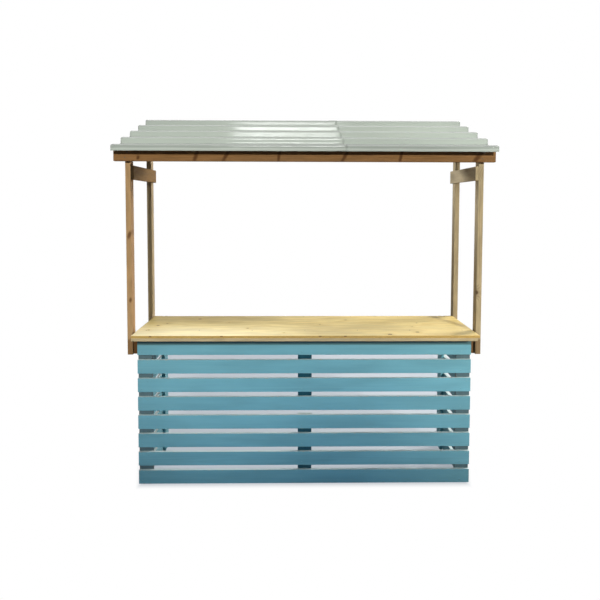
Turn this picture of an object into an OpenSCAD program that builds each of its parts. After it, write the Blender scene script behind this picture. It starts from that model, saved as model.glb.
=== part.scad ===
// Wooden market stall: a slatted counter base, a plywood counter and four posts under a ribbed lean-to roof.
// Millimetres, +Z up. The front faces -Y. The origin lies on the ground, under the middle of the stall's box.

/* [Front panel] */
// length of the slatted front
panel_l = 2400; // [1800:50:3000]
// width of the slats, battens and tie boards
board_w = 100; // [80:1:120]
// thickness of the slats, battens and tie boards
board_t = 22; // [18:1:28]
// open gap between two slats
slat_gap = 35; // [20:1:45]
// gap between the lowest slat and the ground
ground_gap = 10; // [5:1:40]
// gap between the highest slat and the counter sheet
top_gap = 47; // [30:1:70]
// slatted sides in from the front slats' ends
side_inset = 22; // [5:1:40]

/* [Counter] */
// depth of the base, from the slats' faces to the back of the rear posts
base_d = 600; // [480:10:800]
// thickness of the plywood counter sheet
ply_t = 18; // [12:1:25]
// counter sheet in front of the slats
counter_front = 95; // [60:5:120]
// counter sheet short of the back of the base
counter_back = 85; // [40:5:95]
// counter sheet past each end of the slats
counter_side = 20; // [5:1:24]
// sideways shift of the counter sheet, as it was laid
counter_shift = 6; // [-8:1:8]
// width of the stiffening lath under the counter's front edge
lath_w = 44; // [30:1:55]
// thickness of that lath
lath_t = 22; // [18:1:28]
// how far the lath stops short of the sheet's right end
lath_short = 14; // [0:1:30]

/* [Posts] */
// width of a post across the stall
post_w = 38; // [32:1:60]
// depth of a post from front to back
post_d = 63; // [45:1:90]
// from the front slats' ends out to the posts
post_gap = 38; // [34:1:60]
// height of the bearers, which is also how far the posts reach down
bearer_h = 150; // [120:5:200]
// clear height from the counter to the underside of the front beam
headroom = 1217; // [1000:10:1400]
// drop from the front beam's underside to the top of the tie boards
tie_drop = 28; // [0:1:80]

/* [Roof] */
// slope of the roof in degrees, rising to the back
slope = 20; // [12:1:26]
// thickness of the front and rear beams
beam_t = 38; // [32:1:50]
// height of the front beam at its front face
beam_h = 88; // [80:1:120]
// height of the rear beam at its front face
rear_beam_h = 92; // [60:1:120]
// roof past the outer face of the posts at each end
roof_side = 64; // [30:2:120]
// front beam past each end of the roof sheets
beam_proud = 5; // [0:1:15]
// roof sheets in front of the front beam
roof_front = 66; // [50:2:110]
// depth of a rafter, square to the slope
rafter_d = 63; // [45:1:70]
// rafters short of the roof's back edge
rafter_short = 40; // [36:1:60]

/* [Roof sheets] */
// number of ribs along the slope
rib_n = 5; // [5:1:6]
// distance between two ribs
rib_pitch = 220; // [205:5:250]
// height of a rib
rib_h = 34; // [20:1:45]
// width of a rib at its foot
rib_foot = 70; // [60:1:80]
// width of a rib at its top
rib_top = 35; // [20:1:45]
// radius of the bends at the ribs' feet and tops
bend_r = 6; // [3:0.5:8]
// thickness of the sheet, thicker than the real coated steel
sheet_t = 2; // [1:0.5:4]
// end of the left sheet, which lies over the right one, from the middle
lap_x = 287; // [-400:1:400]
// length of the lap
lap_l = 60; // [40:5:100]
// length of the step where the upper sheet climbs on the lower one
lap_step = 10; // [6:1:20]
// clearance between the two sheets in the lap
lap_clear = 0.1; // [0.05:0.05:0.5]
// clearance between the sheets' ends under the lap
end_clear = 0.5; // [0.2:0.1:2]

/* [Hidden] */

// slats, counted from the top
slat_n = 8;
slat_pitch = board_w + slat_gap;
// the centre batten is in two lengths, open behind the gap under this slat of the row
break_n = 4;

// heights
slats_top = ground_gap + (slat_n - 1) * slat_pitch + board_w;
leg_top = slats_top + top_gap;
counter_z = leg_top + ply_t;
foot_z = leg_top - bearer_h;
beam_z = counter_z + headroom;
tie_top = beam_z - tie_drop;

// half widths from the middle to the slats' ends and to the posts' inner and outer faces
half_l = panel_l / 2;
post_in = half_l + post_gap;
side_out = half_l - side_inset;
side_in = side_out - board_t;
post_out = post_in + post_w;
roof_half = post_out + roof_side;
beam_half = roof_half + beam_proud;

// depths from the slats' front faces
batten_y = board_t;
inner_y = batten_y + board_t;
rear_post_y = base_d - post_d;
beam_y = batten_y - beam_t;
edge_y = beam_y - roof_front;
rear_beam_y = base_d;

// the roof plane is the underside of the sheets' flat pans
edge_z = beam_z + beam_h - roof_front * tan(slope);
roof_run = (rib_n - 1) * rib_pitch + rib_foot;
rafter_drop = rafter_d / cos(slope);
flank = (rib_foot - rib_top) / 2;
lap_rise = sheet_t + lap_clear;
lap_start = lap_x - lap_l;
// straight steps that make up one bend of the sheets
bend_n = 4;

// the box runs from the counter's front edge to the roof's back edge
back_y = edge_y + roof_run * cos(slope);
front_y = min(-counter_front, edge_y);
origin_y = (front_y + back_y) / 2;

blue = [0.37, 0.62, 0.68];
timber = [0.62, 0.50, 0.36];
dark_timber = [0.48, 0.36, 0.25];
plywood = [0.91, 0.84, 0.62];
coated_steel = [0.73, 0.76, 0.70];

// underside of the roof sheets at depth y
function roof_z(y) = edge_z + (y - edge_y) * tan(slope);
// underside of the rafters at depth y
function rafter_z(y) = roof_z(y) - rafter_drop;
// lower edge of a slat, counted from the top
function slat_z(i) = ground_gap + (slat_n - i) * slat_pitch;
// left side is -1, right side is 1: the lower end of a stretch from a to b on that side
function side_x(side, a, b) = min(side * a, side * b);

// a board between two corners, placed in the stall's frame
module board(low, high)
  translate(low - [0, origin_y, 0])
    cube(high - low);

// a profile of depth and height, run sideways from x0 to x1
module run_across(x0, x1)
  translate([x0, -origin_y, 0])
    rotate([90, 0, 90])
      linear_extrude(x1 - x0)
        children();

module front_slat(i)
  color(blue)
    board([-half_l, 0, slat_z(i)], [half_l, batten_y, slat_z(i) + board_w]);

// upright battens behind the front slats
module front_batten(x, low, high)
  color(blue)
    board([x, batten_y, low], [x + board_w, inner_y, high]);

module left_front_batten() front_batten(-half_l, 0, leg_top);
module right_front_batten() front_batten(half_l - board_w, 0, leg_top);
module upper_centre_batten() front_batten(-board_w / 2, slat_z(break_n), leg_top);
module lower_centre_batten() front_batten(-board_w / 2, 0, slat_z(break_n + 1) + board_w);

// slats from the front battens to the back, on two upright battens inside
module side_panel(side) {
  face_x = side_x(side, side_in, side_out);
  inside_x = side_x(side, side_in - board_t, side_in);
  color(blue) {
    for (i = [1 : slat_n])
      board([face_x, inner_y, slat_z(i)], [face_x + board_t, base_d, slat_z(i) + board_w]);
    for (y = [inner_y, base_d - board_w])
      board([inside_x, y, 0], [inside_x + board_t, y + board_w, leg_top]);
  }
}
module left_side_panel() side_panel(-1);
module right_side_panel() side_panel(1);

// boards on edge that carry the counter sheet
module front_rail() {
  reach = side_in - board_t;
  color(blue)
    board([-reach, inner_y, leg_top - board_w], [reach, inner_y + board_t, leg_top]);
}
module rear_rail() {
  reach = side_in;
  y = base_d - board_w;
  color(blue)
    board([-reach, y - board_t, leg_top - board_w], [reach, y, leg_top]);
}

// bearers between the slatted sides and the feet of the posts, behind the front battens
module bearer(side) {
  x = side_x(side, side_out, post_in);
  color(timber)
    board([x, inner_y, foot_z], [x + post_in - side_out, base_d, leg_top]);
}
module left_bearer() bearer(-1);
module right_bearer() bearer(1);

module counter_top() {
  reach = half_l + counter_side;
  color(plywood)
    board([counter_shift - reach, -counter_front, leg_top],
          [counter_shift + reach, base_d - counter_back, counter_z]);
}
module counter_lath() {
  reach = half_l + counter_side;
  color(timber)
    board([counter_shift - reach, -counter_front, leg_top - lath_t],
          [counter_shift + reach - lath_short, -counter_front + lath_w, leg_top]);
}

// posts with their tops cut to the slope, under the rafters
module post(side, y) {
  x = side_x(side, post_in, post_out);
  color(timber)
    run_across(x, x + post_w)
      polygon([
        [y, foot_z], [y + post_d, foot_z],
        [y + post_d, rafter_z(y + post_d)], [y, rafter_z(y)]
      ]);
}
module left_front_post() post(-1, batten_y);
module right_front_post() post(1, batten_y);
module left_rear_post() post(-1, rear_post_y);
module right_rear_post() post(1, rear_post_y);

// tie boards on the inner faces of the posts
module tie(side) {
  x = side_x(side, post_in - board_t, post_in);
  color(dark_timber)
    board([x, batten_y, tie_top - board_w], [x + board_t, base_d, tie_top]);
}
module left_tie() tie(-1);
module right_tie() tie(1);

// the front beam's top is bevelled to the roof plane
module front_beam()
  color(dark_timber)
    run_across(-beam_half, beam_half)
      polygon([
        [beam_y, beam_z], [batten_y, beam_z],
        [batten_y, roof_z(batten_y)], [beam_y, roof_z(beam_y)]
      ]);

// the rear beam's top is bevelled to the underside of the rafters
module rear_beam() {
  y = rear_beam_y;
  low = rafter_z(y) - rear_beam_h;
  color(dark_timber)
    run_across(-post_out, post_out)
      polygon([
        [y, low], [y + beam_t, low],
        [y + beam_t, rafter_z(y + beam_t)], [y, rafter_z(y)]
      ]);
}

// rafters butt against the front beam with a plumb cut and end square behind the rear beam
module rafter(x) {
  y = batten_y;
  tail = roof_run - rafter_short;
  tail_y = edge_y + tail * cos(slope);
  color(timber)
    run_across(x, x + post_w)
      polygon([
        [y, rafter_z(y)],
        [tail_y + rafter_d * sin(slope), roof_z(tail_y) - rafter_d * cos(slope)],
        [tail_y, roof_z(tail_y)],
        [y, roof_z(y)]
      ]);
}
module left_rafter() rafter(-post_out);
module middle_rafter() rafter((lap_start + lap_x - post_w) / 2);
module right_rafter() rafter(post_in);

// corners of the sheet's ribs and pans along the slope: a trapezoid for each rib
rib_corners = [
  for (i = [0 : rib_n - 1])
    let (s = i * rib_pitch)
      each [[s, 0], [s + flank, rib_h], [s + flank + rib_top, rib_h], [s + rib_foot, 0]]
];
function unit(v) = v / norm(v);
function heading(v) = atan2(v.y, v.x);
// a bend of radius bend_r at corner p, on the way from a to b
function bend(a, p, b) =
  let (
    turn = heading(b - p) - heading(p - a),
    inward = unit(unit(a - p) + unit(b - p)),
    centre = p + inward * bend_r / cos(turn / 2),
    first = heading(p - centre) - turn / 2
  )
  [for (i = [0 : bend_n]) centre + bend_r * [cos(first + i * turn / bend_n), sin(first + i * turn / bend_n)]];
// the corners as one bent line, raised by rise over the roof plane
function bent_line(rise) =
  let (last = len(rib_corners) - 1)
  [
    for (p = [
      rib_corners[0],
      for (i = [1 : last - 1]) each bend(rib_corners[i - 1], rib_corners[i], rib_corners[i + 1]),
      rib_corners[last]
    ]) p + [0, rise]
  ];
function reversed(line) = [for (i = [len(line) - 1 : -1 : 0]) line[i]];

// the sheet's section between two heights over the roof plane, laid on the slope
module sheet_section(low, high)
  translate([edge_y, edge_z])
    rotate(slope)
      polygon(concat(bent_line(low), reversed(bent_line(high))));

// the left sheet's end steps up over the right sheet
module left_roof_sheet()
  color(coated_steel) {
    run_across(-roof_half, lap_start)
      sheet_section(0, sheet_t);
    run_across(lap_start - lap_step, lap_start)
      sheet_section(0, lap_rise + sheet_t);
    run_across(lap_start - lap_step, lap_x)
      sheet_section(lap_rise, lap_rise + sheet_t);
  }

module right_roof_sheet()
  color(coated_steel)
    run_across(lap_start + end_clear, roof_half)
      sheet_section(0, sheet_t);

front_slat(1);  // front_slat_1
front_slat(2);  // front_slat_2
front_slat(3);  // front_slat_3
front_slat(4);  // front_slat_4
front_slat(5);  // front_slat_5
front_slat(6);  // front_slat_6
front_slat(7);  // front_slat_7
front_slat(8);  // front_slat_8
left_front_batten();
right_front_batten();
upper_centre_batten();
lower_centre_batten();
left_side_panel();
right_side_panel();
front_rail();
rear_rail();
left_bearer();
right_bearer();
counter_top();
counter_lath();
left_front_post();
right_front_post();
left_rear_post();
right_rear_post();
left_tie();
right_tie();
front_beam();
rear_beam();
left_rafter();
middle_rafter();
right_rafter();
left_roof_sheet();
right_roof_sheet();
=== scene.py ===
"""Looks of a wooden market stall: painted slats, bare timber, plywood counter, glossy ribbed roof sheets."""
import math
import random

import bmesh
import bpy
from mathutils import Matrix, Vector, noise


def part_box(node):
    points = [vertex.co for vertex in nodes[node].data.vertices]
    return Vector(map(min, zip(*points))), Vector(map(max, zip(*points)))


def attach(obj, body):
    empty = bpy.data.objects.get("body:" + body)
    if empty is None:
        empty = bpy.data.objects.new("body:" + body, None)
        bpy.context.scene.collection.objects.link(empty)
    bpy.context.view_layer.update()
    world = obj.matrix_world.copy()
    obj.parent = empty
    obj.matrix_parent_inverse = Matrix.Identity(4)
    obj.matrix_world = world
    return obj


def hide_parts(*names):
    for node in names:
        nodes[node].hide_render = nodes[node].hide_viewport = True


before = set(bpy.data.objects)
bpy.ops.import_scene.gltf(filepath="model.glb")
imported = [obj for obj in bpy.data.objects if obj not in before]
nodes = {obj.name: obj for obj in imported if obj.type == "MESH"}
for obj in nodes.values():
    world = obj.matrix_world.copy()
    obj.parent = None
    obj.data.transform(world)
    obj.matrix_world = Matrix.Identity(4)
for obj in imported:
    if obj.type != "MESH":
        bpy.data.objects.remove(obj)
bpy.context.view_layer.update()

BODY = "root"
X, Y, Z = Vector((1, 0, 0)), Vector((0, 1, 0)), Vector((0, 0, 1))
SLATS = [f"front_slat_{i}" for i in range(1, 9)]

# the underside of the counter's lath: bare timber below it carries painted shade, and paint close under it a
# painted shadow
LATH_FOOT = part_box("counter_lath")[0].z

# the roof, as it is built
SLOPE = math.radians(20)
UP_SLOPE = Vector((0, math.cos(SLOPE), math.sin(SLOPE)))
OFF_SLOPE = Vector((0, -math.sin(SLOPE), math.cos(SLOPE)))
RIB_N, RIB_PITCH, RIB_FOOT, RIB_H = 5, 0.220, 0.070, 0.034
LEFT_FLANK, RIGHT_FLANK = 0.0175, 0.0155
BEND_R, BEND_STEPS = 0.006, 4
SHEET_CAD, SHEET = 0.002, 0.0012
LAP, LAP_STEP, LAP_RISE = 0.060, 0.010, 0.0021

# how finely the sheets are cut up the slope and across, and how high their bright front lip is
CUT_UP, CUT_ACROSS, LIP_H = 0.008, 0.02, 0.022

# radii of screw heads in boards, counter and roof, and how far from the middle the outer ones of a row sit
SCREW_R, COUNTER_SCREW_R, ROOF_SCREW_R = 0.0042, 0.004, 0.008
SCREW_REACH = 1.15


# materials

def srgb(code):
    """A colour as written on screen, in the linear values that shaders take."""
    parts = [int(code[i:i + 2], 16) / 255 for i in (1, 3, 5)]
    return [c / 12.92 if c <= 0.04045 else ((c + 0.055) / 1.055) ** 2.4 for c in parts] + [1.0]


class Shader:
    """A material's node tree, with short calls for the nodes used here."""

    def __init__(self, name):
        self.material = bpy.data.materials.new(name)
        self.material.use_nodes = True
        self.tree = self.material.node_tree
        self.bsdf = self.tree.nodes["Principled BSDF"]

    def feed(self, socket, value):
        if isinstance(value, bpy.types.NodeSocket):
            self.tree.links.new(value, socket)
        else:
            socket.default_value = value

    def node(self, kind, inputs=None, **settings):
        made = self.tree.nodes.new("ShaderNode" + kind)
        for key, value in settings.items():
            setattr(made, key, value)
        for key, value in (inputs or {}).items():
            self.feed(made.inputs[key], value)
        return made

    def math(self, operation, *values):
        made = self.node("Math", operation=operation)
        for socket, value in zip(made.inputs, values):
            self.feed(socket, value)
        return made.outputs[0]

    def vector(self, operation, *values):
        made = self.node("VectorMath", operation=operation)
        for socket, value in zip(made.inputs, values):
            self.feed(socket, value)
        return made.outputs["Value" if operation == "LENGTH" else "Vector"]

    def split(self, vector):
        return self.node("SeparateXYZ", {"Vector": vector}).outputs

    def ramp(self, value, start, end, low=0.0, high=1.0):
        """low before start, high after end, smooth between them."""
        keys = ("Value", "From Min", "From Max", "To Min", "To Max")
        inputs = dict(zip(keys, (value, start, end, low, high)))
        return self.node("MapRange", inputs, interpolation_type="SMOOTHSTEP").outputs[0]

    def noise(self, vector, scale, detail=2.0, roughness=0.5):
        """Noise from 0 to 1. Scale holds the cycles per metre along the three axes."""
        stretched = self.vector("MULTIPLY", vector, scale)
        inputs = {"Vector": stretched, "Scale": 1.0, "Detail": detail, "Roughness": roughness}
        return self.node("TexNoise", inputs).outputs[0]

    def mix(self, factor, a, b):
        made = self.node("Mix", data_type="RGBA")
        for index, value in ((0, factor), (6, a), (7, b)):
            self.feed(made.inputs[index], value)
        return made.outputs[2]

    def brighten(self, colour, factor):
        return self.vector("SCALE", colour, (0, 0, 0), (0, 0, 0), factor)

    def attribute(self, name, output="Fac"):
        return self.node("Attribute", attribute_name=name).outputs[output]

    def finish(self, colour, roughness, bump=None, depth=0.0, strength=0.4, **uniform):
        self.feed(self.bsdf.inputs["Base Color"], colour)
        self.feed(self.bsdf.inputs["Roughness"], roughness)
        if bump is not None:
            made = self.node("Bump", {"Height": bump, "Distance": depth, "Strength": strength})
            self.feed(self.bsdf.inputs["Normal"], made.outputs[0])
        for key, value in uniform.items():
            self.bsdf.inputs[key.replace("_", " ")].default_value = value
        return self.material


def wood_pattern(sh, ring=0.0045, waver=0.02, knot_share=0.5, knot_size=(0.004, 0.013)):
    """Growth rings round a wandering pith, fibres, and knots that the grain parts round."""
    cell_size = (0.42, 0.10, 0.10)
    grain = sh.attribute("grain", "Vector")
    cell = sh.vector("DIVIDE", grain, cell_size)
    voronoi = sh.node("TexVoronoi", {"Vector": cell, "Scale": 1.0, "Randomness": 0.9})
    away = sh.vector("MULTIPLY", sh.vector("SUBTRACT", cell, voronoi.outputs["Position"]), cell_size)
    away = sh.vector("MULTIPLY", away, (0.7, 1.0, 1.0))
    ragged = sh.math("MULTIPLY", sh.math("SUBTRACT", sh.noise(grain, (60, 60, 60)), 0.5), 0.006)
    distance = sh.math("ADD", sh.vector("LENGTH", away), ragged)
    chance = sh.split(voronoi.outputs["Color"])
    present = sh.math("LESS_THAN", chance[1], knot_share)
    radius = sh.ramp(chance[0], 0.0, 1.0, *knot_size)
    knot = sh.math("MULTIPLY", present, sh.ramp(distance, radius, sh.math("MULTIPLY", radius, 0.75)))
    heart = sh.math("MULTIPLY", present, sh.ramp(distance, sh.math("MULTIPLY", radius, 0.5), 0.0))
    parting = sh.math("MULTIPLY", present, sh.ramp(distance, sh.math("MULTIPLY", radius, 4.0), 0.0))

    slow = sh.vector("MULTIPLY", grain, (0.9, 4.0, 4.0))
    sway = sh.node("TexNoise", {"Vector": slow, "Scale": 1.0, "Detail": 2.0}).outputs[1]
    shifted = sh.vector("MULTIPLY", sh.vector("SUBTRACT", sway, (0.5, 0.5, 0.5)), (0, waver, waver))
    place = sh.split(sh.vector("ADD", grain, shifted))
    squares = [sh.math("POWER", place[axis], 2.0) for axis in (1, 2)]
    from_pith = sh.math("SQRT", sh.math("ADD", *squares))
    from_pith = sh.math("ADD", from_pith, sh.math("MULTIPLY", parting, 0.012))
    phase = sh.math("FRACT", sh.math("DIVIDE", from_pith, ring))
    late = sh.math("MULTIPLY", sh.ramp(phase, 0.35, 0.9), sh.ramp(phase, 1.0, 0.92))
    fibre = sh.noise(grain, (9, 420, 420), 3.0, 0.6)
    return {"grain": grain, "late": late, "fibre": fibre, "knot": knot, "heart": heart, "parting": parting}


def bare_timber(name, early, late, knot_colour, weather, spikes=(), **pattern):
    """Sawn softwood: light early wood, darker late wood, knots, grey weathering, painted shade below the
    counter.

    Spikes are knots cut lengthwise, each as (x, z, lean, width, height).
    """
    sh = Shader(name)
    wood = wood_pattern(sh, **pattern)
    colour = sh.mix(sh.math("MULTIPLY", wood["late"], 0.75), srgb(early), srgb(late))
    colour = sh.mix(sh.ramp(wood["fibre"], 0.35, 0.8, 0.0, 0.35), colour, srgb(late))
    patches = sh.noise(wood["grain"], (1.3, 7, 7), 4.0, 0.6)
    colour = sh.mix(sh.ramp(patches, 0.42, 0.72, 0.0, 0.45), colour, srgb(weather))
    blotch = sh.noise(wood["grain"], (6, 30, 30), 3.0, 0.6)
    colour = sh.brighten(colour, sh.ramp(blotch, 0.3, 0.7, 1.12, 0.88))
    knots = sh.math("MAXIMUM", wood["knot"], sh.math("MULTIPLY", wood["parting"], 0.25))
    place = sh.split(sh.node("TexCoord").outputs["Object"])
    for x, z, lean, width, tall in spikes:
        above = sh.math("SUBTRACT", place[2], z)
        line = sh.math("ADD", x, sh.math("MULTIPLY", above, lean))
        off = sh.math("DIVIDE", sh.math("SUBTRACT", place[0], line), width)
        reach = sh.math("DIVIDE", above, tall)
        squares = [sh.math("MULTIPLY", part, part) for part in (off, reach)]
        away = sh.math("SQRT", sh.math("ADD", *squares))
        ragged = sh.math("MULTIPLY", sh.noise(wood["grain"], (30, 50, 50)), 0.5)
        knots = sh.math("MAXIMUM", knots, sh.ramp(sh.math("ADD", away, ragged), 1.4, 0.5, 0.0, 0.85))
    colour = sh.mix(knots, colour, srgb(knot_colour))
    colour = sh.mix(sh.math("MULTIPLY", wood["heart"], 0.5), colour, srgb("#2a1a10"))
    colour = sh.mix(sh.math("MULTIPLY", sh.attribute("rim"), 0.35), colour, srgb(weather))
    colour = sh.brighten(colour, sh.math("ADD", 1.0, sh.attribute("tone")))
    # painted shade: bare timber from just below the counter's lath downwards is darkened towards deep brown
    painted_shade = sh.ramp(place[2], LATH_FOOT - 0.004, LATH_FOOT - 0.030, 0.0, 0.6)
    colour = sh.mix(painted_shade, colour, srgb("#5f3c1a"))
    roughness = sh.ramp(wood["fibre"], 0.2, 0.8, 0.62, 0.82)
    height = sh.math("ADD", sh.math("MULTIPLY", wood["late"], 0.5), wood["fibre"])
    height = sh.math("ADD", height, sh.math("MULTIPLY", wood["knot"], 0.6))
    return sh.finish(colour, roughness, height, 0.0006, Specular_IOR_Level=0.25)


def brushed_paint(name, paint, thin, wood_tone):
    """Thin matt paint brushed along sawn boards: streaks, grain and knots that show through, worn edges.

    Faces that look up are paler with painted light, and a painted shadow darkens it close under the counter.
    """
    sh = Shader(name)
    wood = wood_pattern(sh, knot_share=0.4)
    streak = sh.noise(wood["grain"], (2.2, 130, 130), 3.0, 0.65)
    cloud = sh.noise(wood["grain"], (2.0, 9, 9), 3.0)
    colour = sh.mix(sh.ramp(streak, 0.3, 0.75, 0.0, 0.55), srgb(paint), srgb(thin))
    colour = sh.brighten(colour, sh.ramp(cloud, 0.25, 0.75, 0.9, 1.08))
    colour = sh.brighten(colour, sh.ramp(wood["late"], 0.0, 1.0, 1.02, 0.95))
    stain = sh.math("MAXIMUM", wood["knot"], sh.math("MULTIPLY", wood["parting"], 0.3))
    colour = sh.mix(sh.math("MULTIPLY", stain, 0.22), colour, srgb(wood_tone))
    colour = sh.brighten(colour, sh.math("ADD", 1.0, sh.attribute("tone")))
    chips = sh.ramp(sh.noise(wood["grain"], (45, 90, 90), 4.0, 0.7), 0.56, 0.64)
    worn = sh.math("MULTIPLY", sh.attribute("rim"), chips)
    colour = sh.mix(worn, colour, srgb("#b39a74"))
    # painted light: faces that look up are paled, as if lit from above
    upward = sh.split(sh.node("NewGeometry").outputs["True Normal"])[2]
    colour = sh.mix(sh.ramp(upward, 0.5, 0.8, 0.0, 0.75), colour, srgb("#dfeceb"))
    # painted shadow: paint from just below the counter's lath upwards is darkened, as under the counter's
    # overhang
    above_ground = sh.split(sh.node("TexCoord").outputs["Object"])[2]
    under_counter_shadow = sh.ramp(above_ground, LATH_FOOT - 0.058, LATH_FOOT - 0.046, 0.0, 0.75)
    colour = sh.mix(under_counter_shadow, colour, srgb("#36443a"))
    roughness = sh.ramp(streak, 0.2, 0.8, 0.48, 0.66)
    height = sh.math("ADD", sh.math("MULTIPLY", wood["late"], 0.35), streak)
    height = sh.math("SUBTRACT", height, worn)
    return sh.finish(colour, roughness, height, 0.0005, Specular_IOR_Level=0.3)


def knotty_ply(name, face, streak_tone, painted_light_colour, knot_colour, edge_light, edge_dark,
               knots, voids, thickness):
    """Softwood plywood: figure, knots, painted light along the front, strongest at the left, painted shade at
    the left rear, plies and voids on the edges.
    """
    sh = Shader(name)
    grain = sh.attribute("grain", "Vector")
    place = sh.split(grain)
    swell = sh.math("MULTIPLY", sh.noise(grain, (0.9, 3.6, 1.0), 3.0), 7.0)
    phase = sh.math("FRACT", sh.math("ADD", sh.math("MULTIPLY", place[1], 14.0), swell))
    figure = sh.math("MULTIPLY", sh.ramp(phase, 0.2, 0.9), sh.ramp(phase, 1.0, 0.93))
    fibre = sh.noise(grain, (7, 260, 260), 3.0, 0.6)
    cloud = sh.noise(grain, (1.4, 5.0, 1.0), 4.0, 0.6)
    colour = sh.mix(sh.math("MULTIPLY", figure, 0.45), srgb(face), srgb(streak_tone))
    colour = sh.mix(sh.ramp(cloud, 0.4, 0.75, 0.0, 0.5), colour, srgb(streak_tone))
    colour = sh.mix(sh.ramp(fibre, 0.45, 0.8, 0.0, 0.25), colour, srgb(streak_tone))
    blotch = sh.noise(grain, (3.0, 11.0, 1.0), 4.0, 0.65)
    colour = sh.brighten(colour, sh.ramp(blotch, 0.32, 0.68, 1.12, 0.88))
    # painted light: the front is paled towards the light colour, most of all at the left
    worn = sh.math("MULTIPLY", sh.ramp(place[1], 0.42, 0.05), sh.ramp(place[0], 0.3, -0.9, 0.15, 0.5))
    colour = sh.mix(worn, colour, srgb(painted_light_colour))
    # painted shade: the left rear is darkened
    painted_shade = sh.math("MULTIPLY", sh.ramp(place[1], 0.2, 0.5), sh.ramp(place[0], 0.1, -0.5))
    colour = sh.brighten(colour, sh.ramp(painted_shade, 0.0, 1.0, 1.0, 0.74))
    # painted light: the front right is brightened
    painted_light_right = sh.math("MULTIPLY", sh.ramp(place[1], 0.3, 0.05), sh.ramp(place[0], 0.0, 0.6))
    colour = sh.brighten(colour, sh.ramp(painted_light_right, 0.0, 1.0, 1.0, 1.16))
    ragged = sh.math("MULTIPLY", sh.noise(grain, (40, 40, 40)), 0.012)
    for x, y, radius in knots:
        off = sh.vector("MULTIPLY", sh.vector("SUBTRACT", grain, (x, y, 0)), (0.75, 1.0, 0.0))
        distance = sh.math("ADD", sh.vector("LENGTH", off), ragged)
        halo = sh.ramp(distance, 3.0 * radius, radius, 0.0, 0.35)
        colour = sh.mix(halo, colour, srgb(streak_tone))
        colour = sh.mix(sh.ramp(distance, 1.2 * radius, 0.8 * radius, 0.0, 0.9), colour, srgb(knot_colour))
    ply = sh.math("FRACT", sh.math("MULTIPLY", place[2], 7 / 2 / thickness))
    layer = sh.math("MULTIPLY", sh.ramp(ply, 0.46, 0.54), sh.ramp(ply, 1.0, 0.95))
    gaps = sh.noise(grain, (30, 30, 400), 3.0)
    edge = sh.mix(layer, srgb(edge_light), srgb(edge_dark))
    edge = sh.brighten(edge, sh.ramp(gaps, 0.3, 0.7, 0.8, 1.1))
    for x in voids:
        beside = sh.ramp(sh.math("ABSOLUTE", sh.math("SUBTRACT", place[0], x)), 0.012, 0.006)
        upper = sh.ramp(place[2], 0.4 * thickness, 0.6 * thickness, 0.0, 0.85)
        edge = sh.mix(sh.math("MULTIPLY", beside, upper), edge, srgb(knot_colour))
    upright = sh.split(sh.node("NewGeometry").outputs["True Normal"])[2]
    colour = sh.mix(sh.ramp(sh.math("ABSOLUTE", upright), 0.75, 0.65), colour, edge)
    roughness = sh.ramp(fibre, 0.2, 0.8, 0.4, 0.55)
    height = sh.math("ADD", fibre, sh.math("MULTIPLY", figure, 0.4))
    return sh.finish(colour, roughness, height, 0.0004, Specular_IOR_Level=0.2)


def coated_sheet(name, coat, shade, front_rib, lip_top):
    """Glossy light coating on thin steel: faint water marks, and a darker front rib with a brighter lip."""
    sh = Shader(name)
    place = sh.node("TexCoord").outputs["Object"]
    cloud = sh.noise(place, (1.6, 2.4, 2.4), 4.0, 0.6)
    runs = sh.noise(place, (55, 2.0, 2.0), 3.0, 0.6)
    colour = sh.mix(sh.ramp(cloud, 0.35, 0.75, 0.0, 0.4), srgb(coat), srgb(shade))
    colour = sh.mix(sh.ramp(runs, 0.5, 0.8, 0.0, 0.25), colour, srgb(shade))
    _, along, up = sh.split(place)
    # the front rib is darkened, except along its lip, which is brightened
    uneven = sh.math("MULTIPLY", sh.math("SUBTRACT", sh.noise(place, (1.7, 0, 0)), 0.5), 0.02)
    lip = sh.ramp(sh.math("ADD", up, uneven), lip_top + 0.003, lip_top - 0.003, 0.76, 1.06)
    colour = sh.brighten(colour, sh.math("MAXIMUM", sh.ramp(along, front_rib - 0.01, front_rib), lip))
    dust = sh.noise(place, (9, 9, 9), 5.0, 0.65)
    roughness = sh.ramp(dust, 0.3, 0.75, 0.08, 0.18)
    waves = sh.noise(place, (7, 22, 22), 1.0)
    return sh.finish(colour, roughness, waves, 0.0015, 0.35, Metallic=0.0, IOR=1.6)


def plain_metal(name, colour, worn):
    """Zinc-plated screws, dulled and a little stained."""
    sh = Shader(name)
    place = sh.node("TexCoord").outputs["Object"]
    spots = sh.noise(place, (300, 300, 300), 3.0)
    made = sh.mix(sh.ramp(spots, 0.45, 0.7), srgb(colour), srgb(worn))
    return sh.finish(made, sh.ramp(spots, 0.3, 0.7, 0.35, 0.6), spots, 0.0001, Metallic=0.8)


def dark_recess(name):
    """Painted shade for a screw's drive recess, which is a thin dark mark on the head."""
    sh = Shader(name)
    place = sh.node("TexCoord").outputs["Object"]
    recess_shade_mottle = sh.noise(place, (500, 500, 500), 2.0)
    return sh.finish(sh.mix(recess_shade_mottle, srgb("#1c1a18"), srgb("#3a332b")), 0.9)


# boards

def place_mesh(name, mesh, materials, stands_for=()):
    """Links a finished mesh as a piece of the stall."""
    piece = bpy.data.objects.new(name, mesh)
    bpy.context.scene.collection.objects.link(piece)
    for material in materials:
        mesh.materials.append(material)
    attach(piece, BODY)
    if stands_for:
        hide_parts(*stands_for)
    return piece


def board_from_node(node):
    """A CAD board as a tidy solid with whole faces."""
    bm = bmesh.new()
    bm.from_mesh(nodes[node].data)
    bmesh.ops.remove_doubles(bm, verts=bm.verts, dist=1e-5)
    bmesh.ops.dissolve_limit(bm, angle_limit=math.radians(2), verts=bm.verts, edges=bm.edges)
    return bm


def board_from_box(low, high):
    bm = bmesh.new()
    size = high - low
    place = Matrix.Translation((low + high) / 2) @ Matrix.Diagonal((*size, 1.0))
    bmesh.ops.create_cube(bm, size=1.0, matrix=place)
    return bm


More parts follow.
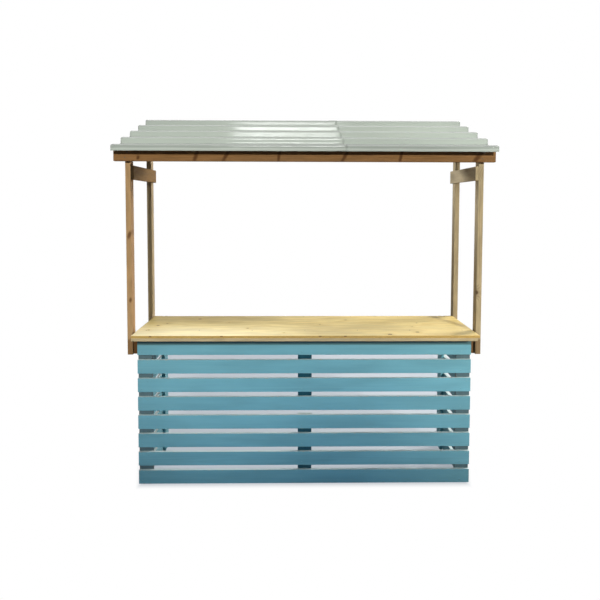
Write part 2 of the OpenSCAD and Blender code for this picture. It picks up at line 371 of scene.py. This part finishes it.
def ease(bm, along, seed, tone=0.0, ends=-0.3, radius=0.0018):
    """Rounds a board's edges and gives it its own grain along a direction, with ends of another tone."""
    grain = bm.verts.layers.float_vector.new("grain")
    rim, tones = bm.faces.layers.float.new("rim"), bm.faces.layers.float.new("tone")
    sharp = [e for e in bm.edges if e.is_manifold and e.calc_face_angle() > math.radians(20)]
    made = bmesh.ops.bevel(bm, geom=sharp, offset=radius, segments=2, profile=0.5, affect="EDGES",
                           clamp_overlap=True)
    draw = random.Random(seed)
    start = draw.uniform(-9, 9)
    beside = draw.choice((-1, 1)) * draw.uniform(0.02, 0.08)
    pith = Vector((start, beside, draw.uniform(-0.09, 0.09)))
    across = Z if abs(along.z) < 0.5 else X
    across = (across - along * across.dot(along)).normalized()
    thick = along.cross(across)
    centre = sum((v.co for v in bm.verts), Vector()) / len(bm.verts)
    for v in bm.verts:
        local = v.co - centre
        v[grain] = Vector((local.dot(along), local.dot(across), local.dot(thick))) + pith
    bm.normal_update()
    for f in bm.faces:
        f[tones] = tone + (ends if abs(f.normal.dot(along)) > 0.9 else 0.0)
    for f in made["faces"]:
        f[rim] = 1.0
    return bm


def to_mesh(name, boards):
    """One mesh of one or more boards."""
    whole = bmesh.new()
    for bm in boards:
        part = bpy.data.meshes.new(name + "_part")
        bm.to_mesh(part)
        bm.free()
        whole.from_mesh(part)
        bpy.data.meshes.remove(part)
    mesh = bpy.data.meshes.new(name)
    whole.to_mesh(mesh)
    whole.free()
    return mesh


def dress_board(node, along, material, seed, tone=0.0, ends=-0.3):
    """A board with eased edges and its own grain, in place of a plain CAD board."""
    mesh = to_mesh("timber_" + node, [ease(board_from_node(node), along, seed, tone, ends)])
    return place_mesh("timber_" + node, mesh, [material], [node])


def dress_side(node, inward, material, seed):
    """A slatted side as single boards: slats level with the front ones, on two battens."""
    low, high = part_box(node)
    slat_low, slat_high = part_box(SLATS[0])
    thick, width = slat_high.y - slat_low.y, slat_high.z - slat_low.z
    halfway = (low.x + high.x) / 2
    if inward > 0:
        slat_x, batten_x = (low.x, low.x + thick), (halfway, high.x)
    else:
        slat_x, batten_x = (high.x - thick, high.x), (low.x, halfway)
    boards = []
    for i, slat in enumerate(SLATS):
        s_low, s_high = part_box(slat)
        bm = board_from_box(Vector((slat_x[0], low.y, s_low.z)), Vector((slat_x[1], high.y, s_high.z)))
        boards.append(ease(bm, Y, seed + i, 0.03 * math.sin(3.1 * i)))
    for i, y in enumerate((low.y, high.y - width)):
        bm = board_from_box(Vector((batten_x[0], y, low.z)), Vector((batten_x[1], y + width, high.z)))
        boards.append(ease(bm, Z, seed + 20 + i))
    mesh = to_mesh("timber_" + node, boards)
    return place_mesh("timber_" + node, mesh, [material], [node])


# roof sheets

def bend_points(a, p, b):
    """Points of a bend at corner p on the way from a to b."""
    before, after = (p - a).normalized(), (b - p).normalized()
    turn = before.angle_signed(after)
    tangent = BEND_R * math.tan(abs(turn) / 2)
    start, end = p - before * tangent, p + after * tangent
    steps = [i / BEND_STEPS for i in range(BEND_STEPS + 1)]
    return [(1 - t) ** 2 * start + 2 * t * (1 - t) * p + t * t * end for t in steps]


def rib_profile(flank):
    """The sheet's bent line up the slope, as distances along it and off it, in short steps."""
    corners = []
    for i in range(RIB_N):
        s = i * RIB_PITCH
        corners += [(s, 0), (s + flank, RIB_H), (s + RIB_FOOT - flank, RIB_H), (s + RIB_FOOT, 0)]
    corners = [Vector(c) for c in corners]
    line = [corners[0]]
    for a, p, b in zip(corners, corners[1:], corners[2:]):
        line += bend_points(a, p, b)
    line.append(corners[-1])
    fine = [line[0]]
    for a, b in zip(line, line[1:]):
        cuts = max(1, round((b - a).length / CUT_UP))
        fine += [a.lerp(b, (i + 1) / cuts) for i in range(cuts)]
    return fine


def roof_sheet(name, node, x0, x1, flank, lap_end, seed, material):
    """A thin ribbed sheet, slightly buckled between its bends. A lapped end steps up over its neighbour."""
    low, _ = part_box(node)
    edge = Vector((0, low.y + SHEET_CAD * math.sin(SLOPE), low.z))
    profile = rib_profile(flank)
    columns = round((x1 - x0) / CUT_ACROSS)
    bm = bmesh.new()
    rows = []
    for c in range(columns + 1):
        x = x0 + (x1 - x0) * c / columns
        rise = SHEET_CAD - 0.0002
        if lap_end is not None:
            climb = min(max((x - (lap_end - LAP - LAP_STEP)) / LAP_STEP, 0.0), 1.0)
            rise += LAP_RISE * climb
        row = []
        for point in profile:
            wave = noise.noise(Vector((x * 2.6, point.x * 7.0, seed)))
            ripple = noise.noise(Vector((x * 8.0, point.x * 16.0, seed + 5.0)))
            buckle = 0.0009 * wave + 0.0004 * ripple
            off = OFF_SLOPE * (point.y + rise + buckle)
            row.append(bm.verts.new(X * x + edge + UP_SLOPE * point.x + off))
        rows.append(row)
    for left, right in zip(rows, rows[1:]):
        for i in range(len(profile) - 1):
            bm.faces.new((left[i], right[i], right[i + 1], left[i + 1]))
    for f in bm.faces:
        f.smooth = True
    mesh = bpy.data.meshes.new(name)
    bm.to_mesh(mesh)
    bm.free()
    piece = place_mesh(name, mesh, [material], [node])
    solid = piece.modifiers.new("thickness", "SOLIDIFY")
    solid.thickness = SHEET
    solid.offset = -1.0
    return piece


# fasteners

def screw_heads(name, places, radius, materials, hexagon=False):
    """Screw heads at (point, outward direction): flat cross heads, or hexagon heads on sealing washers."""
    bm = bmesh.new()
    for i, (point, out) in enumerate(places):
        turn = Matrix.Rotation(1.7 * i, 4, "Z")
        seat = Matrix.Translation(point) @ out.to_track_quat("Z", "Y").to_matrix().to_4x4() @ turn
        if hexagon:
            stack = (
                (radius, 1.0, 0.0014, 20),
                (radius * 0.9, 0.75, 0.0012, 20),
                (radius * 0.55, 0.95, 0.0045, 6),
            )
        else:
            stack = ((radius, 0.86, 0.0007, 20),)
        height = 0.0
        for r, taper, tall, sides in stack:
            lift = Matrix.Translation((0, 0, height + tall / 2))
            bmesh.ops.create_cone(bm, cap_ends=True, segments=sides, radius1=r, radius2=r * taper, depth=tall,
                                  matrix=seat @ lift)
            height += tall
        if not hexagon:
            # the cross drive is a thin dark mark on the head, painted shade for its recess
            bar = Matrix.Diagonal((radius * 1.05, radius * 0.22, 0.0002, 1))
            for quarter in (0, math.pi / 2):
                slotted = seat @ Matrix.Rotation(quarter, 4, "Z") @ Matrix.Translation((0, 0, height))
                made = bmesh.ops.create_cube(bm, size=1.0, matrix=slotted @ bar)
                for f in {f for v in made["verts"] for f in v.link_faces}:
                    f.material_index = 1
    mesh = bpy.data.meshes.new(name)
    bm.to_mesh(mesh)
    bm.free()
    return place_mesh(name, mesh, materials)


# the stall

# knots cut lengthwise in the left front post and the front beam, as (x, z, lean, width, height)
POST_SPIKES = [(-1.252, 1.816, 0.25, 0.017, 0.040), (-1.250, 1.349, 0.1, 0.013, 0.024)]
BEAM_SPIKES = [
    (-1.172, 2.361, 0.15, 0.015, 0.020), (-0.768, 2.376, 0.35, 0.020, 0.075),
    (-0.558, 2.376, 0.55, 0.020, 0.075), (-0.186, 2.376, 0.15, 0.015, 0.075),
    (0.277, 2.372, 0.60, 0.019, 0.075), (0.672, 2.372, 0.20, 0.015, 0.075),
    (1.224, 2.380, 0.70, 0.030, 0.085),
]

# the counter's knots as (x, y, radius), and gaps in the plies of its long edges as x,
# measured from the middle of its front edge
COUNTER_KNOTS = [
    (-1.103, 0.296, 0.016), (-1.137, 0.163, 0.013), (-1.051, 0.356, 0.013), (-0.825, 0.503, 0.018),
    (0.810, 0.096, 0.016), (0.599, 0.034, 0.018), (0.807, 0.250, 0.012), (0.871, 0.368, 0.011),
    (-0.42, 0.21, 0.013), (0.12, 0.33, 0.012), (-0.15, 0.08, 0.010), (0.33, 0.47, 0.014),
    (-0.58, 0.39, 0.011),
]
EDGE_VOIDS = (-1.080, -0.584, 0.104, 0.280)

counter_low, counter_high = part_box("counter_top")
left_low, left_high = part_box("left_roof_sheet")
right_low, right_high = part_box("right_roof_sheet")

blue = brushed_paint("blue_paint", "#72a5b1", "#689dad", "#8a7a52")
shaded_blue = brushed_paint("shaded_paint", "#0d3c48", "#0b333e", "#2a3a38")
# a darker copy of the blue paint on the end battens: painted shade, for the shade they lie in behind the gaps
end_batten_shade = brushed_paint("end_batten_painted_shade", "#54666a", "#4c5e63", "#5a5a48")
PINE = ("#b8946b", "#94704a", "#5f3c22", "#927c5f")
pine = bare_timber("pine", *PINE)
post_pine = bare_timber("post_pine", *PINE, POST_SPIKES)
grey_pine = bare_timber("grey_pine", "#b4a07f", "#937f5f", "#5c452f", "#97876c")
brown_pine = bare_timber("dark_pine", "#947039", "#745428", "#442a1a", "#7b6038")
beam_pine = bare_timber("beam_pine", "#8a6540", "#71502f", "#4a2d16", "#785a3e", BEAM_SPIKES, knot_share=0.2)
# e6dfc6 is the colour of the painted light on the counter's front
ply = knotty_ply("plywood", "#e3cc88", "#c8a85e", "#e6dfc6", "#7d5830", "#deba70", "#a0763c",
                 COUNTER_KNOTS, EDGE_VOIDS, counter_high.z - counter_low.z)
coat = coated_sheet("roof_sheet", "#b0b6ae", "#a4aba4", left_low.y + RIB_FOOT, left_low.z + LIP_H)
zinc = plain_metal("screw_zinc", "#6e6a62", "#4a443c")
recess = dark_recess("screw_recess")

SLAT_TONES = (0.03, -0.02, 0.01, -0.03, 0.02, -0.01, 0.03, 0.0)
for i, (node, tone) in enumerate(zip(SLATS, SLAT_TONES)):
    dress_board(node, X, blue, 100 + i, tone)
BATTEN_PAINTS = {
    "left_front_batten": end_batten_shade,
    "right_front_batten": end_batten_shade,
    "upper_centre_batten": shaded_blue,
    "lower_centre_batten": shaded_blue,
}
for i, (node, paint) in enumerate(BATTEN_PAINTS.items()):
    dress_board(node, Z, paint, 120 + i)
for i, node in enumerate(("front_rail", "rear_rail")):
    dress_board(node, X, blue, 130 + i)
dress_side("left_side_panel", 1, blue, 140)
dress_side("right_side_panel", -1, blue, 180)
# the bearers' ends are dark end grain with painted shade on top, deepest on the left
for i, (node, ends) in enumerate((("left_bearer", -0.8), ("right_bearer", -0.5))):
    dress_board(node, Y, pine, 200 + i, 0.0, ends)
dress_board("left_front_post", Z, post_pine, 210)
dress_board("left_rear_post", Z, grey_pine, 211, 0.2)
dress_board("right_front_post", Z, grey_pine, 215)
dress_board("right_rear_post", Z, grey_pine, 216, -0.2)
for i, node in enumerate(("left_rafter", "middle_rafter", "right_rafter")):
    dress_board(node, UP_SLOPE, pine, 220 + i)
# painted shade on the left tie's ends, and painted light on the right tie's ends
dress_board("left_tie", Y, brown_pine, 230, -0.15, -0.75)
dress_board("right_tie", Y, grey_pine, 231, -0.2, 0.2)
dress_board("rear_beam", X, beam_pine, 241)
dress_board("front_beam", X, beam_pine, 240)
dress_board("counter_lath", X, grey_pine, 250, 0.25)

# the counter's grain is measured from the middle of its front lower edge
counter_bm = ease(board_from_node("counter_top"), X, 260, 0.0, 0.0, 0.0012)
counter_grain = counter_bm.verts.layers.float_vector["grain"]
for v in counter_bm.verts:
    v[counter_grain] = v.co - Vector((0, counter_low.y, counter_low.z))
counter_mesh = to_mesh("timber_counter_top", [counter_bm])
place_mesh("timber_counter_top", counter_mesh, [ply], ["counter_top"])

roof_sheet("sheet_left", "left_roof_sheet", left_low.x, left_high.x, LEFT_FLANK, left_high.x, 3.0, coat)
roof_sheet("sheet_right", "right_roof_sheet", right_low.x, right_high.x, RIGHT_FLANK, None, 11.0, coat)


def pairs(point, out, spread):
    """Two screws either side of a point."""
    return [(point + spread, out), (point - spread, out)]


def middle(node):
    low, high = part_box(node)
    return (low + high) / 2


slat_screws = []
for node in SLATS:
    low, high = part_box(node)
    for batten in ("left_front_batten", "lower_centre_batten", "right_front_batten"):
        point = Vector((middle(batten).x, low.y, (low.z + high.z) / 2))
        slat_screws += pairs(point, -Y, Vector((0.022, 0, 0.028)))
screw_heads("screws_front", slat_screws, SCREW_R, [blue, recess])

side_screws = []
for node, out in (("left_side_panel", -X), ("right_side_panel", X)):
    low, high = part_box(node)
    face = low.x if out.x < 0 else high.x
    for slat in SLATS[2:]:
        for y in (low.y + 0.05, high.y - 0.05):
            side_screws += pairs(Vector((face, y, middle(slat).z)), out, Vector((0, 0.022, 0.028)))
screw_heads("screws_sides", side_screws, SCREW_R, [blue, recess])

frame_screws = []
beam_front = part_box("front_beam")[0].y
for side, out in (("left", -X), ("right", X)):
    for place in ("front", "rear"):
        low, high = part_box(f"{side}_{place}_post")
        face = low.x if out.x < 0 else high.x
        at = Vector((face, (low.y + high.y) / 2 + 0.008, low.z + 0.09))
        frame_screws += pairs(at, out, Vector((0, 0.008, 0.038)))
        tie = middle(f"{side}_tie")
        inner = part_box(f"{side}_tie")[1 if out.x < 0 else 0].x
        frame_screws += pairs(Vector((inner, (low.y + high.y) / 2, tie.z)), -out, Vector((0, 0.012, 0.027)))
        across = (low.x + high.x) / 2
        if place == "front":
            at, facing = Vector((across, beam_front, middle("front_beam").z - 0.006)), -Y
        else:
            at, facing = Vector((across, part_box("rear_beam")[1].y, middle("rear_beam").z - 0.01)), Y
        frame_screws += pairs(at, facing, Vector((0.008, 0, 0.02)))
screw_heads("screws_frame", frame_screws, SCREW_R, [zinc, recess])

counter_screws = []
for x in [-SCREW_REACH + 2 * SCREW_REACH * i / 6 for i in range(7)]:
    for y in (middle("front_rail").y, middle("rear_rail").y):
        counter_screws.append((Vector((x, y, counter_high.z - 0.0003)), Z))
screw_heads("screws_counter", counter_screws, COUNTER_SCREW_R, [zinc, recess])

roof_screws = []
edge = Vector((0, left_low.y + SHEET_CAD * math.sin(SLOPE), left_low.z))
beam_s = (middle("front_beam").y - edge.y) / math.cos(SLOPE)
on_pan = OFF_SLOPE * SHEET_CAD
for x in [-SCREW_REACH + 2 * SCREW_REACH * i / 8 for i in range(9)]:
    roof_screws.append((X * x + edge + UP_SLOPE * beam_s + on_pan, OFF_SLOPE))
for node in ("left_rafter", "middle_rafter", "right_rafter"):
    for i in range(1, RIB_N - 1):
        s = i * RIB_PITCH + RIB_FOOT + (RIB_PITCH - RIB_FOOT) / 2
        lift = on_pan + (OFF_SLOPE * LAP_RISE if node == "middle_rafter" else Vector())
        roof_screws.append((X * middle(node).x + edge + UP_SLOPE * s + lift, OFF_SLOPE))
screw_heads("screws_roof", roof_screws, ROOF_SCREW_R, [zinc], hexagon=True)


# studio

def studio_mask(tree):
    """1 for rays from the camera, mirrors and glass, 0 for the light that falls on the stall."""
    path = tree.nodes.new("ShaderNodeLightPath")
    total = path.outputs["Is Camera Ray"]
    for other in ("Is Glossy Ray", "Is Transmission Ray"):
        add = tree.nodes.new("ShaderNodeMath")
        add.operation = "ADD"
        add.use_clamp = True
        tree.links.new(total, add.inputs[0])
        tree.links.new(path.outputs[other], add.inputs[1])
        total = add.outputs[0]
    return total


# the floor's painted soft shadow: half its width, and how fast that and its blur grow behind the stall; where
# it starts in front and fades behind; how wide its edge is, and how slowly its far end fades
SHADOW_HALF, SHADOW_GROWTH, BLUR_GROWTH = 1.22, 0.2, 0.85
SHADOW_FRONT, SHADOW_BACK = -0.30, 3.4
SHADOW_EDGE, BACK_SLOWNESS = 0.12, 0.085


def floor_material(shown, glow, bounce):
    """White floor with a soft shadow under and behind the stall, painted as a glowing grey over the real
    shadow, dull in what it throws back.
    """
    sh = Shader("floor")
    tree = sh.tree
    place = sh.split(sh.node("TexCoord").outputs["Object"])
    half_wide = sh.math("ADD", SHADOW_HALF, sh.math("MULTIPLY", place[1], SHADOW_GROWTH))
    blur = sh.math("ADD", 1.0, sh.math("MULTIPLY", place[1], BLUR_GROWTH))
    sideways = sh.math("DIVIDE", sh.math("SUBTRACT", sh.math("ABSOLUTE", place[0]), half_wide), blur)
    behind = sh.math("MULTIPLY", sh.math("SUBTRACT", place[1], SHADOW_BACK), BACK_SLOWNESS)
    before = sh.math("SUBTRACT", SHADOW_FRONT, place[1])
    outside = sh.math("MAXIMUM", sideways, sh.math("MAXIMUM", behind, before))
    fade = sh.ramp(outside, 0.0, SHADOW_EDGE)
    lit = sh.node("BsdfDiffuse", {"Color": srgb(shown)})
    # painted shadow: in the zone the floor glows its own grey, over the lit grey that takes the real shadow
    light = sh.node("Emission", {"Color": srgb(shown), "Strength": glow})
    near = sh.node("AddShader", {0: lit.outputs[0], 1: light.outputs[0]})
    white = sh.node("Emission", {"Strength": 1.0})
    pale = sh.node("MixShader", {0: fade, 1: near.outputs[0], 2: white.outputs[0]})
    dull = sh.node("BsdfDiffuse", {"Color": (bounce, bounce, bounce, 1)})
    pick = sh.node("MixShader", {0: studio_mask(tree), 1: dull.outputs[0], 2: pale.outputs[0]})
    sh.feed(tree.nodes["Material Output"].inputs["Surface"], pick.outputs[0])
    tree.nodes.remove(sh.bsdf)
    return sh.material


def studio_world(fill, tint):
    """White behind the stall, a soft fill on it."""
    world = bpy.data.worlds.new("studio")
    bpy.context.scene.world = world
    world.use_nodes = True
    tree = world.node_tree
    tree.nodes.clear()
    soft, white = tree.nodes.new("ShaderNodeBackground"), tree.nodes.new("ShaderNodeBackground")
    soft.inputs["Color"].default_value = (*tint, 1)
    soft.inputs["Strength"].default_value = fill
    white.inputs["Color"].default_value = (1, 1, 1, 1)
    pick, out = tree.nodes.new("ShaderNodeMixShader"), tree.nodes.new("ShaderNodeOutputWorld")
    tree.links.new(studio_mask(tree), pick.inputs[0])
    tree.links.new(soft.outputs[0], pick.inputs[1])
    tree.links.new(white.outputs[0], pick.inputs[2])
    tree.links.new(pick.outputs[0], out.inputs["Surface"])


def lamp(name, kind, place, target, power, tint=(1, 1, 1), **settings):
    """A lamp that looks at a point. Settings are the lamp's own."""
    data = bpy.data.lights.new(name, kind)
    data.energy = power
    data.color = tint
    for key, value in settings.items():
        setattr(data, key, value)
    made = bpy.data.objects.new(name, data)
    bpy.context.scene.collection.objects.link(made)
    made.location = place
    made.rotation_euler = (Vector(target) - Vector(place)).to_track_quat("-Z", "Y").to_euler()
    return made


bpy.ops.mesh.primitive_circle_add(vertices=64, radius=60, fill_type="NGON", location=(0, 0, 0))
floor = bpy.context.object
floor.name = "floor"
# the grey and the glow of the floor's painted shadow, and how much light the floor throws back
floor.data.materials.append(floor_material("#868b91", 1.4, 0.12))
studio_world(0.08, (0.85, 0.93, 1.0))

# three soft-edged spots from the front, which leave the foot of the slats dim right of the middle,
# each as (place, target, power, angle, blend)
KEY_TINT = (0.97, 1.0, 0.94)
SLAT_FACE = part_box(SLATS[0])[0].y
FRONT = SLAT_FACE - 9.0
KEYS = {
    "key_left": ((-1.3, FRONT, 5.0), (-0.75, SLAT_FACE, 1.88), 3330, 23.1, 0.64),
    "key_right": ((5.5, FRONT, 4.8), (1.57, SLAT_FACE, 1.02), 5900, 13.1, 0.95),
    "key_roof": ((3.0, FRONT, 4.8), (1.50, SLAT_FACE, 2.65), 4100, 13.1, 0.90),
}
for name, (place, target, power, angle, blend) in KEYS.items():
    key = lamp(name, "SPOT", place, target, power, KEY_TINT, spot_size=math.radians(angle), spot_blend=blend,
               shadow_soft_size=0.5)
    key.visible_glossy = False
# a weak blue wash low on the slats, light on the frame from behind, and a strip over the counter's left front
lamp("skirt", "AREA", (-0.1, SLAT_FACE - 2.2, 0.38), (-0.1, SLAT_FACE, 0.38), 2.2, (0.1, 0.5, 1.0),
     shape="RECTANGLE", size=2.6, size_y=0.6, spread=math.radians(60))
lamp("back_right", "AREA", (5.6, 2.6, 3.9), (0, -0.1, 1.6), 430, (1.0, 0.96, 0.9),
     shape="RECTANGLE", size=2.0, size_y=0.5)
lamp("back_left", "SPOT", (-5.6, 2.6, 3.9), (1.2, 0.0, 2.3), 2400, (0.9, 0.97, 1.0),
     spot_size=math.radians(9), spot_blend=0.6, shadow_soft_size=0.4)
lamp("pool", "AREA", (-0.65, -0.47, 2.0), (-0.65, -0.47, 1.12), 1.4, (0.92, 0.98, 1.0),
     shape="RECTANGLE", size=1.15, size_y=0.08, spread=math.radians(62))
# weak fills for the back, the left and the top, each as (place, target, power, width, depth)
FILLS = {
    "fill_back": ((0, 7.0, 2.0), (0, 0, 1.3), 150, 3.0, 1.5),
    "fill_left": ((-6.0, 0.6, 2.0), (0, 0, 1.3), 40, 2.0, 1.5),
    "fill_top": ((0, 0.3, 7.5), (0, 0.2, 2.6), 60, 3.0, 1.2),
}
for name, (place, target, power, wide, deep) in FILLS.items():
    fill = lamp(name, "AREA", place, target, power, shape="RECTANGLE", size=wide, size_y=deep)
    fill.visible_glossy = False
# a lamp that adds shine only, which the roof sheets mirror
gloss = lamp("gloss", "AREA", (-0.2, -4.5, 4.64), (0, 0, 2.5), 33, shape="RECTANGLE", size=1.8, size_y=0.42)
gloss.visible_diffuse = False

# the camera stands a little left of the middle, above head height, and looks slightly down
FOCAL_PX, FRAME_PX, CENTRE_PX = 498.2, 600, 226.2
YAW, PITCH, ROLL = 0.0129, 0.0467, 0.0023
CAMERA_AT = (-0.083, SLAT_FACE - 3.534, 2.0465)
camera = bpy.data.objects.new("camera", bpy.data.cameras.new("camera"))
bpy.context.scene.collection.objects.link(camera)
camera.data.lens = camera.data.sensor_width * FOCAL_PX / FRAME_PX
camera.data.shift_y = -(FRAME_PX / 2 - CENTRE_PX) / FRAME_PX
camera.matrix_world = (
    Matrix.Translation(CAMERA_AT)
    @ Matrix.Rotation(-YAW, 4, "Z")
    @ Matrix.Rotation(math.pi / 2 - PITCH, 4, "X")
    @ Matrix.Rotation(ROLL, 4, "Z")
)
bpy.context.scene.camera = camera
bpy.context.scene.view_settings.view_transform = "Standard"
